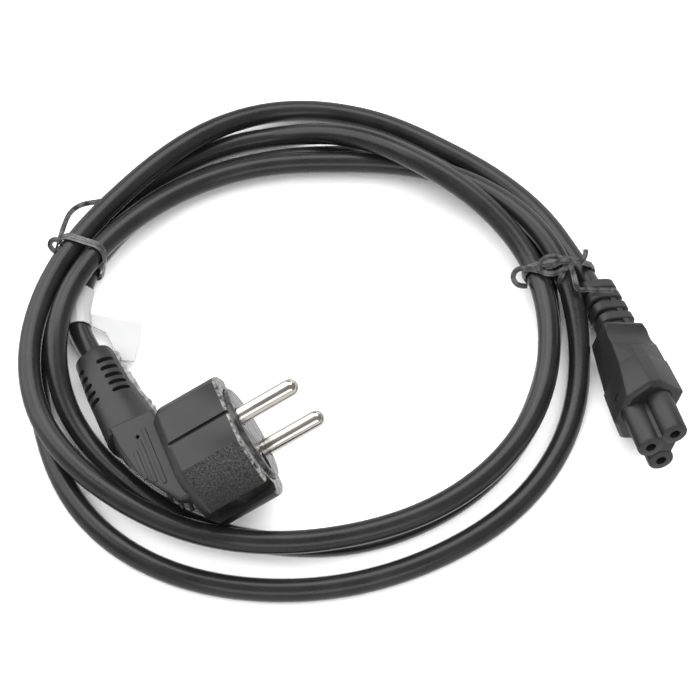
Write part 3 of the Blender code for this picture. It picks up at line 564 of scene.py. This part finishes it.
for y in np.linspace(FLASH_FROM, FLASH_TO, FLASH_STEPS):
    root = float(flash_edge(y)[0]) - FLASH_SUNK
    ragged = 1.0 - FLASH_RAGGED + FLASH_RAGGED * random_reach.random()
    tip = root + FLASH_SUNK + FLASH_REACH * ragged * min(1.0, (FLASH_TIP - y) / FLASH_TAPER)
    bend = FLASH_WAVE * math.sin(y * FLASH_WAVE_RATE)
    row = [bm.verts.new((root, y, FLASH_ROOT_HALF)), bm.verts.new((tip, y, bend + FLASH_EDGE_HALF)),
           bm.verts.new((tip, y, bend - FLASH_EDGE_HALF)), bm.verts.new((root, y, -FLASH_ROOT_HALF))]
    ring = [bm.edges.new((row[i], row[(i + 1) % 4])) for i in range(4)]
    if last_row:
        bmesh.ops.bridge_loops(bm, edges=last_row + ring)
    last_row = ring
bmesh.ops.holes_fill(bm, edges=bm.edges, sides=4)
flash_painted_highlight_look = moulded_look(
    "mould_flash", colour=(0.060, 0.060, 0.060), dust_and_painted_light_colour=(0.420, 0.418, 0.410), dust_and_painted_light=0.9,
    roughness=0.30, mottle=0.10, grain_size=900.0, grain_depth=0.00004, patch_size=500.0)
flash = seat(solid_from("mould_flash", bm), plug_pose, [flash_painted_highlight_look])

# Plug insert. A glossy black disc pressed into the head's face, which holds both pins. Its rim is rounded,
# and the earth hole goes through it below the pins.
INSERT_RAISED = 1.3
PIN_RADIUS = 2.4
PIN_SPACING = 19.0
# Place along the pins and inset of each ring of the disc, which round its rim
INSERT_RINGS = [
    (-INSERT_SUNK, 0.0), (INSERT_RAISED - 0.6, 0.0), (INSERT_RAISED - 0.3, 0.12),
    (INSERT_RAISED - 0.1, 0.35), (INSERT_RAISED, 0.7),
]


def circle_at(x, radius, sides, y=0.0, z=0.0):
    """Points of a circle across the x axis."""
    return [(x, y + radius * math.cos(2 * math.pi * i / sides),
             z + radius * math.sin(2 * math.pi * i / sides)) for i in range(sides)]


gloss = moulded_look(
    "gloss_insert", colour=(0.010, 0.010, 0.011), dust_and_painted_light_colour=(0.060, 0.060, 0.058), dust_and_painted_light=0.8,
    roughness=0.14, mottle=0.10, grain_size=260.0, grain_depth=0.00045, patch_size=380.0)
plug_insert = hull_of("plug_insert", [point for x, inset in INSERT_RINGS
                                      for point in circle_at(x, INSERT_RADIUS - inset, 96)])
cutters = []
for side in (1, -1):
    middle = side * PIN_SPACING / 2
    cutters.append(rod_of("pin_hole", PIN_RADIUS + INSERT_GAP, (-INSERT_SUNK - OVERCUT, 0, middle),
                          (INSERT_RAISED + OVERCUT, 0, middle), 40))
cutters.append(rod_of("earth_hole", EARTH_HOLE_RADIUS, (-INSERT_SUNK - OVERCUT, -EARTH_HOLE_OFFSET, 0),
                      (INSERT_RAISED + OVERCUT, -EARTH_HOLE_OFFSET, 0), 32))
carve(plug_insert, cutters)
seat(plug_insert, plug_pose, [gloss])
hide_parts("plug_insert")

# Pins. Solid round brass, turned with a domed tip and nickel plated. Their roots are held in the insert,
# and the plating is a little dull in patches from handling.
PIN_LENGTH = 19.0
PIN_ROOT = 3.4
PIN_SIDES = 48
DOME_STEP = 10
METAL_DETAIL = 5.0


def metal_look(name, dull, lighter_tint, smoothest, roughest, patch_size):
    """Bare or plated metal, tinted and dulled in patches."""
    made = plain_shader(name, lighter_tint, smoothest, 1.0)
    nodes = made.node_tree.nodes
    links = made.node_tree.links
    place = nodes.new('ShaderNodeTexCoord')
    noise = nodes.new('ShaderNodeTexNoise')
    noise.inputs["Scale"].default_value = patch_size
    noise.inputs["Detail"].default_value = METAL_DETAIL
    tint = nodes.new('ShaderNodeValToRGB')
    tint.color_ramp.elements[0].color = (*dull, 1.0)
    tint.color_ramp.elements[1].color = (*lighter_tint, 1.0)
    rough = nodes.new('ShaderNodeMapRange')
    rough.inputs["To Min"].default_value = smoothest
    rough.inputs["To Max"].default_value = roughest
    links.new(place.outputs["Object"], noise.inputs["Vector"])
    links.new(noise.outputs["Fac"], tint.inputs["Fac"])
    links.new(noise.outputs["Fac"], rough.inputs["Value"])
    links.new(tint.outputs["Color"], nodes["Principled BSDF"].inputs["Base Color"])
    links.new(rough.outputs["Result"], nodes["Principled BSDF"].inputs["Roughness"])
    return made


nickel = metal_look("nickel", dull=(0.60, 0.57, 0.50), lighter_tint=(0.80, 0.79, 0.75),
                    smoothest=0.10, roughest=0.30, patch_size=260.0)
for name, side in (("pin_upper", 1), ("pin_lower", -1)):
    bm = bmesh.new()
    profile = [(-PIN_ROOT, 0.0), (-PIN_ROOT, PIN_RADIUS), (PIN_LENGTH - PIN_RADIUS, PIN_RADIUS)]
    for degrees in range(DOME_STEP, 91, DOME_STEP):
        angle = math.radians(degrees)
        profile.append((PIN_LENGTH - PIN_RADIUS + PIN_RADIUS * math.sin(angle),
                        PIN_RADIUS * math.cos(angle)))
    verts = [bm.verts.new((x, r, 0.0)) for x, r in profile]
    edges = [bm.edges.new(pair) for pair in zip(verts, verts[1:])]
    bmesh.ops.spin(bm, geom=verts + edges, cent=(0, 0, 0), axis=(1, 0, 0), angle=2 * math.pi,
                   steps=PIN_SIDES, use_merge=True)
    bmesh.ops.remove_doubles(bm, verts=bm.verts, dist=0.001)
    bm.transform(Matrix.Translation((0.0, 0.0, side * PIN_SPACING / 2)))
    pin = seat(solid_from(name, bm), plug_pose, [nickel])
    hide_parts(name)

# Earth clips. Sprung strips of plated metal lying in the head's side slots, where a socket's earth contacts
# touch them. The solids' own shape is right, so only their finish is set here: dull, and painted dark as
# shade.
clip_painted_shade_metal = metal_look("clip_painted_shade_metal", dull=(0.05, 0.047, 0.042), lighter_tint=(0.16, 0.15, 0.14),
                        smoothest=0.25, roughest=0.50, patch_size=400.0)
for name in ("earth_clip_cord_side", "earth_clip_far_side"):
    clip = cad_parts[name]
    clip.data.materials.clear()
    clip.data.materials.append(clip_painted_shade_metal)

# Connector body. The soft black moulding at the appliance end: a housing that narrows to a bent strain
# relief of four rings with a spine, and a chamfered front face with the nose standing in it. It is
# moulded round the cord in one shot, with a shallow finger scoop above and below.
CONNECTOR_ORIGIN = Vector((81.9, -25.9, 14.35))
CONNECTOR_X = Vector((0.2432, -0.9445, 0.2210))
CONNECTOR_Y = Vector((0.9314, 0.1638, -0.3250))
BODY_FRONT = 2.6
FRONT_CHAMFER = 1.2
BODY_STEP = -10.0
BODY_WAIST = -17.0
BODY_REAR = -27.4
BODY_EDGE = 0.3
REAR_EDGE = 0.35
BODY_SHARP = 12.0
REAR_OVERLAP = 1.0
REAR_SHRINK = 0.97
FRONT_SECTION = [(7.2, 7.3), (-1.5, 11.5), (-5.0, 11.2), (-9.35, 5.2)]
FACE_SECTION = [(6.0, 7.0), (-1.6, 10.3), (-4.7, 10.1), (-8.15, 5.0)]
STEP_SECTION = [(6.3, 7.6), (-0.9, 10.3), (-4.4, 10.1), (-8.1, 6.2)]
WAIST_SECTION = [(6.2, 6.6), (-0.7, 8.7), (-3.9, 8.6), (-6.9, 6.0)]
REAR_SECTION = [(6.6, 4.6), (5.9, 5.3), (-5.6, 5.3), (-6.3, 4.6)]
SCOOP_RADIUS = 9.0
SCOOP_PLACE = Vector((-22.5, 0.0, 13.9))
SCOOP_REACH = Vector((0.0, 15.0, 0.0))
NOSE_OFFSET = 5.2
NOSE_RADIUS = 3.6
NOSE_ROOT = 3.0
NOSE_AXES = [(-NOSE_OFFSET, 0.0), (0.0, NOSE_OFFSET), (0.0, -NOSE_OFFSET)]
POCKET_GAP = 0.25
POCKET_DEEPER = 0.3
RELIEF_FROM = Vector((-27.4, 0.3, 0.0))
RELIEF_TO = Vector((-45.9, -1.8, 0.4))
RING_FROM = Vector((-27.4, 1.0, 0.0))
RING_TO = Vector((-45.9, -1.1, 0.4))
RINGS = [(0.0, 3.4), (4.3, 7.4), (8.6, 11.7), (12.8, 15.9)]
RING_EDGE = [(0.0, 0.5), (0.12, 0.2), (0.4, 0.0)]
RING_WIDTH = 5.5
RING_HEIGHT = 4.35
CORE_RADIUS = 3.5
CORE_WIDER = 0.5
CORE_SQUARE = 2.6
CORE_FROM = 1.7
CORE_INTO_BODY = 2.0
SPINE_LINE = [(-45.6, 0.1), (-28.0, 2.4)]
SPINE_SECTION = [(-1.1, 2.0), (1.1, 2.0), (-0.9, 4.15), (0.9, 4.15)]


def mirrored(section, x):
    """Corners of the housing's section at x, above and below its middle."""
    return [(x, y, side * z) for y, z in section for side in (1, -1)]


def relief_ring(along, half_width, half_height, square=4.0, sides=56):
    """Squared oval across the connector's strain relief, a distance from its cord end."""
    axis = (RING_FROM - RING_TO).normalized()
    across = Vector((0.0, 1.0, 0.0))
    across = (across - axis * across.dot(axis)).normalized()
    up = axis.cross(across)
    section = []
    for i in range(sides):
        cosine = math.cos(2 * math.pi * i / sides)
        sine = math.sin(2 * math.pi * i / sides)
        section.append(RING_TO + axis * along
                       + across * half_width * math.copysign(abs(cosine) ** (2 / square), cosine)
                       + up * half_height * math.copysign(abs(sine) ** (2 / square), sine))
    return section


def nose_outline(ends, radius, sides):
    """Circles of one radius round the nose's three axes, at both ends."""
    return [(x, y + radius * math.cos(2 * math.pi * i / sides),
             z + radius * math.sin(2 * math.pi * i / sides))
            for y, z in NOSE_AXES for i in range(sides) for x in ends]


connector_pose = pose_of(CONNECTOR_ORIGIN, CONNECTOR_X, CONNECTOR_Y)
front_points = mirrored(FACE_SECTION, BODY_FRONT) + mirrored(FRONT_SECTION, BODY_FRONT - FRONT_CHAMFER)
connector_body = hull_of("connector_body", front_points + mirrored(STEP_SECTION, BODY_STEP),
                         BODY_EDGE, EDGE_STEPS, BODY_SHARP)
inner_step = [(y * REAR_SHRINK, z * REAR_SHRINK) for y, z in STEP_SECTION]
rear_points = mirrored(inner_step, BODY_STEP + REAR_OVERLAP) + mirrored(WAIST_SECTION, BODY_WAIST)
rear = hull_of("rear", rear_points + mirrored(REAR_SECTION, BODY_REAR), REAR_EDGE, EDGE_STEPS, BODY_SHARP)
carve(connector_body, [rear], 'UNION')
scoops = []
for side in (1, -1):
    place = Vector((SCOOP_PLACE.x, 0.0, side * SCOOP_PLACE.z))
    scoops.append(rod_of("scoop", SCOOP_RADIUS, place - SCOOP_REACH, place + SCOOP_REACH, 160))
carve(connector_body, scoops)
relief_length = (RING_FROM - RING_TO).length
core_points = relief_ring(CORE_FROM, CORE_RADIUS + CORE_WIDER, CORE_RADIUS, CORE_SQUARE)
core_points += relief_ring(relief_length + CORE_INTO_BODY, CORE_RADIUS + CORE_WIDER, CORE_RADIUS, CORE_SQUARE)
parts = [hull_of("core", core_points)]
for start, end in RINGS:
    rows = [(start + along, inset) for along, inset in RING_EDGE]
    rows += [(end - along, inset) for along, inset in RING_EDGE[::-1]]
    parts.append(hull_of("ring", [point for along, inset in rows
                                  for point in relief_ring(along, RING_WIDTH - inset, RING_HEIGHT - inset)]))
for side in (1, -1):
    parts.append(hull_of("spine", [(x, y + across, side * z) for x, y in SPINE_LINE
                                   for across, z in SPINE_SECTION]))
carve(connector_body, parts, 'UNION')
relief_axis = (RELIEF_FROM - RELIEF_TO).normalized()
pocket = hull_of("pocket", nose_outline((-NOSE_ROOT - POCKET_DEEPER, BODY_FRONT + OVERCUT),
                                        NOSE_RADIUS + POCKET_GAP, 48))
bore = rod_of("cord_bore", CORD_DIAMETER / MM / 2 + INSERT_GAP, RELIEF_TO + relief_axis * CORD_BORE_DEPTH,
              RELIEF_TO - relief_axis * CORD_BORE_PAST, 32)
carve(connector_body, [pocket, bore])
seat(connector_body, connector_pose, [moulding])
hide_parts("connector_body")

# Connector nose. Three round tubes in a cloverleaf, joined by a web and moulded with the body, each with a
# deep hole for an appliance pin. It stands in a pocket in the body's front face.
TUBE_LENGTH = 15.6
WEB_RADIUS = 1.7
HOLE_RADIUS = 1.45
HOLE_DEPTH = 9.0
BASE_WIDER = 0.1
WEB_SUNK = 0.3
WEB_ROOT = 1.0
# Place along the tube and inset of each of its rings, which round its end
TUBE_RINGS = [(-NOSE_ROOT / 2, 0.0), (TUBE_LENGTH - 0.5, 0.0), (TUBE_LENGTH - 0.15, 0.15), (TUBE_LENGTH, 0.5)]
nose = hull_of("connector_nose", nose_outline((-NOSE_ROOT, BODY_FRONT), NOSE_RADIUS + BASE_WIDER, 48))
tubes = [hull_of("web", nose_outline((-WEB_ROOT, TUBE_LENGTH - WEB_SUNK), WEB_RADIUS, 24))]
holes = []
for y, z in NOSE_AXES:
    tubes.append(hull_of("tube", [point for x, inset in TUBE_RINGS
                                  for point in circle_at(x, NOSE_RADIUS - inset, 56, y, z)]))
    holes.append(rod_of("hole", HOLE_RADIUS, (TUBE_LENGTH - HOLE_DEPTH, y, z),
                        (TUBE_LENGTH + OVERCUT, y, z), 32))
carve(nose, tubes, 'UNION')
carve(nose, holes)
seat(nose, connector_pose, [moulding])
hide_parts("connector_nose")

# Contacts. Small rolled brass sockets set back in the nose's holes, where the appliance's pins go in. The
# solids' own shape is right, so only their finish is set here: tarnished brass, painted darker still as the
# shade of the hole.
contact_brass = metal_look("contact_brass", dull=(0.05, 0.037, 0.018), lighter_tint=(0.20, 0.15, 0.075),
                           smoothest=0.30, roughest=0.50, patch_size=500.0)
for name in ("contact_head", "contact_upper", "contact_lower"):
    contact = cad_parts[name]
    contact.data.materials.clear()
    contact.data.materials.append(contact_brass)

# Twist ties. Thin black ribbons with a wire core, each drawn once round the coil, twisted at the top and left
# with loose ends. The band follows the strands that it holds.
TIE_WIDTH = 2.2
LOOSE_WIDTH = 1.5
TIE_EDGE = 0.24
TIE_CORE = 0.55
TIE_STAND_OFF = 0.45
TIE_OFF_FLOOR = 0.05
TIE_SPACING = 0.7
BAND_STEP = math.pi / 36
COIL_MIDDLE = Vector((-12.5, 0.0, 0.0))
TOWARDS_VIEW = Vector((0.0, -0.5, 0.866))
# Each tie's angle round the coil, the band's drift along the coil over its top, the strands that it holds as
# distance from the coil's middle and height, and the loose ends and twists as points that each passes through
TIES = {
    "tie_left": {
        "angle": 158.5,
        "drift": -2.3,
        "strands": [(73.1, 10.7), (74.7, 4.1), (65.8, 11.1), (67.0, 4.2)],
        "loose_ends": [
            [(-82.9, 27.9, 14.0), (-84.7, 28.4, 14.0), (-85.8, 27.5, 13.5), (-85.3, 26.3, 12.5),
             (-83.9, 25.8, 11.5), (-83.0, 26.8, 12.5)],
            [(-83.2, 27.2, 13.5), (-82.8, 31.9, 12.5), (-82.0, 36.4, 11.5), (-80.9, 40.1, 10.5),
             (-78.5, 42.7, 10.0), (-74.9, 43.1, 11.0), (-71.3, 43.0, 12.0)],
            [(-83.6, 26.1, 12.0), (-84.4, 24.4, 10.5), (-85.1, 22.6, 9.0)],
        ],
    },
    "tie_right": {
        "angle": 16.5,
        "drift": 0.0,
        "strands": [(82.5, 4.4), (68.4, 10.6), (76.2, 10.0), (71.6, 4.2)],
        "loose_ends": [
            [(55.8, 16.8, 14.5), (52.7, 17.5, 15.0), (49.9, 18.1, 14.8), (47.4, 18.3, 13.8),
             (46.3, 16.5, 12.8), (47.4, 15.0, 11.5), (50.4, 15.3, 10.0)],
            [(61.8, 18.8, 15.0), (59.5, 17.0, 15.0), (56.0, 16.3, 15.0), (53.8, 17.2, 15.5),
             (53.8, 18.9, 16.5), (56.0, 20.3, 17.5), (58.8, 20.3, 17.5), (61.7, 19.7, 16.5),
             (63.5, 19.9, 15.5)],
            [(55.2, 18.2, 15.5), (57.1, 17.9, 16.5), (59.4, 18.9, 17.0), (62.0, 19.4, 16.5)],
            [(61.2, 19.7, 16.5), (63.5, 19.7, 15.0), (65.6, 20.7, 14.5), (66.8, 22.2, 15.0),
             (67.1, 24.1, 15.5)],
            [(62.0, 19.5, 16.0), (62.9, 17.6, 15.0), (63.5, 14.6, 14.5), (64.3, 11.9, 14.0),
             (66.4, 12.3, 12.9), (71.0, 12.7, 12.0), (75.6, 12.8, 11.7)],
            [(61.3, 19.2, 15.0), (60.1, 16.8, 13.5), (59.2, 15.3, 10.0)],
        ],
    },
}
# A quarter of the ribbon's section: share of its width, and half its thickness there
RIBBON_QUARTER = [(0.5, TIE_EDGE / 2), (0.2, TIE_EDGE * 0.55), (0.12, TIE_CORE / 2)]
RIBBON_SECTION = [(-u, -v) for u, v in RIBBON_QUARTER] + [(u, -v) for u, v in RIBBON_QUARTER[::-1]]
RIBBON_SECTION += [(u, v) for u, v in RIBBON_QUARTER] + [(-u, v) for u, v in RIBBON_QUARTER[::-1]]


def ribbon(bm, path, closed, width, face_way):
    """A flat strip with a raised wire core along the path, its broad side towards the given way."""
    first_row = None
    last_row = None
    count = len(path)
    for i in range(count):
        before = path[i - 1] if i or closed else path[0]
        after = path[(i + 1) % count] if i < count - 1 or closed else path[-1]
        along = (after - before).normalized()
        across = along.cross(face_way(i)).normalized()
        out = across.cross(along)
        row = [bm.verts.new(path[i] + across * u * width + out * v) for u, v in RIBBON_SECTION]
        ring = [bm.edges.new((row[k], row[(k + 1) % len(row)])) for k in range(len(row))]
        if last_row:
            bmesh.ops.bridge_loops(bm, edges=last_row + ring)
        first_row = first_row or ring
        last_row = ring
    if closed:
        bmesh.ops.bridge_loops(bm, edges=last_row + first_row)
    else:
        bmesh.ops.contextual_create(bm, geom=first_row)
        bmesh.ops.contextual_create(bm, geom=last_row)


# The ties' black coat carries light grey patches: a painted highlight along the ribbons.
tie_coat = moulded_look(
    "tie_coat", colour=(0.016, 0.016, 0.017), dust_and_painted_light_colour=(0.120, 0.120, 0.117), dust_and_painted_light=0.7,
    roughness=0.16, mottle=0.12, grain_size=1500.0, grain_depth=0.00003, patch_size=500.0)
tie_frame = Matrix.Scale(MM, 4) @ Matrix.Translation(FRAME_SHIFT)
reach = CORD_DIAMETER / MM / 2 + TIE_STAND_OFF + TIE_CORE / 2
for name, tie_places in TIES.items():
    bm = bmesh.new()
    angle = math.radians(tie_places["angle"])
    outward = Vector((math.cos(angle), math.sin(angle), 0.0))
    along_coil = Vector((-outward.y, outward.x, 0.0))
    band = []
    band_ways = []
    for turn in np.arange(0.0, 2 * math.pi, BAND_STEP):
        level = math.cos(turn)
        rise = math.sin(turn)
        r, z = max(tie_places["strands"], key=lambda strand: strand[0] * level + strand[1] * rise)
        height = max(z + reach * rise, TIE_CORE / 2 + TIE_OFF_FLOOR)
        drift = along_coil * tie_places["drift"] * max(rise, 0.0)
        band.append(COIL_MIDDLE + outward * (r + reach * level) + drift + Vector((0.0, 0.0, height)))
        band_ways.append(outward * level + Vector((0.0, 0.0, rise)))
    ribbon(bm, band, True, TIE_WIDTH, lambda i: band_ways[i])
    for points in tie_places["loose_ends"]:
        ribbon(bm, smooth_route(points, TIE_SPACING), False, LOOSE_WIDTH, lambda i: TOWARDS_VIEW)
    tie = seat(solid_from(name, bm), tie_frame, [tie_coat])
    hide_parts(name)

# Label. White film wrapped round the cord beside the plug, with its ends stuck together as a flag. The
# solid's own shape is right, so only its finish is set here. It is left blank.
film = moulded_look(
    "label_film", colour=(0.37, 0.37, 0.375), dust_and_painted_light_colour=(0.33, 0.33, 0.33), dust_and_painted_light=0.5,
    roughness=0.45, mottle=0.10, grain_size=600.0, grain_depth=0.00002)
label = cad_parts["label_flag"]
label.data.materials.clear()
label.data.materials.append(film)

# Floor and light. A wide white sheet lies under the lead, lit evenly by a large lamp overhead. Four soft
# boxes show only as reflections on the black mouldings, which gives them a bright side and a dark side.
FLOOR_SIZE = 6.0
FLOOR_COLOUR = (0.95, 0.95, 0.95)
FLOOR_ROUGHNESS = 0.9
# The room's brightness from straight down, at 0, over the horizon, at a half, to straight up, at 1
ROOM_RAMP = [(0.0, 1.10), (0.15, 0.90), (0.32, 0.80), (0.50, 0.90), (0.56, 0.80), (0.62, 0.22), (1.0, 0.25)]
# Each box's radiance, width, depth and place
SOFT_BOXES = {
    "left_box": (1.9, 1.6, 1.7, (-1.05, 0.55, 0.85)),
    "front_box": (1.8, 1.4, 0.55, (0.1, -1.1, 0.70)),
    "back_box": (2.4, 1.1, 0.9, (0.05, 0.75, 1.30)),
    "far_box": (1.0, 0.9, 0.6, (0.53, 1.30, 0.50)),
}
OVERHEAD = (3.6, 3.2, 3.2, (0.0, 0.0, 1.5))
bm = bmesh.new()
bmesh.ops.create_grid(bm, x_segments=1, y_segments=1, size=FLOOR_SIZE / 2)
floor = solid_from("floor", bm)
floor.data.materials.append(plain_shader("floor_paper", FLOOR_COLOUR, FLOOR_ROUGHNESS))
floor.visible_glossy = False
world = bpy.data.worlds.new("studio")
world.use_nodes = True
room = world.node_tree.nodes
room_links = world.node_tree.links
direction = room.new('ShaderNodeTexCoord')
split = room.new('ShaderNodeSeparateXYZ')
height_ramp = room.new('ShaderNodeValToRGB')
halved = room.new('ShaderNodeMath')
halved.operation = 'MULTIPLY_ADD'
halved.inputs[1].default_value = 0.5
halved.inputs[2].default_value = 0.5
ramp = height_ramp.color_ramp
for element, (position, grey) in zip(ramp.elements, (ROOM_RAMP[0], ROOM_RAMP[-1])):
    element.position = position
    element.color = (grey, grey, grey, 1.0)
for position, grey in ROOM_RAMP[1:-1]:
    element = ramp.elements.new(position)
    element.color = (grey, grey, grey, 1.0)
room_links.new(direction.outputs["Generated"], split.inputs["Vector"])
room_links.new(split.outputs["Z"], halved.inputs[0])
room_links.new(halved.outputs["Value"], height_ramp.inputs["Fac"])
room_links.new(height_ramp.outputs["Color"], room["Background"].inputs["Color"])
room["Background"].inputs["Strength"].default_value = 1.0
bpy.context.scene.world = world
bpy.context.scene.view_settings.view_transform = 'Standard'


def soft_light(name, radiance, width, depth, place):
    """A rectangular area light at a place, facing the scene's origin, of one brightness all over."""
    data = bpy.data.lights.new(name, 'AREA')
    data.shape = 'RECTANGLE'
    data.size = width
    data.size_y = depth
    data.energy = radiance * math.pi * width * depth
    lamp = bpy.data.objects.new(name, data)
    bpy.context.scene.collection.objects.link(lamp)
    lamp.location = place
    lamp.rotation_euler = (-Vector(place)).to_track_quat('-Z', 'Y').to_euler()
    return lamp


for name, values in SOFT_BOXES.items():
    box = soft_light(name, *values)
    box.visible_diffuse = False
overhead = soft_light("overhead", *OVERHEAD)
overhead.visible_glossy = False
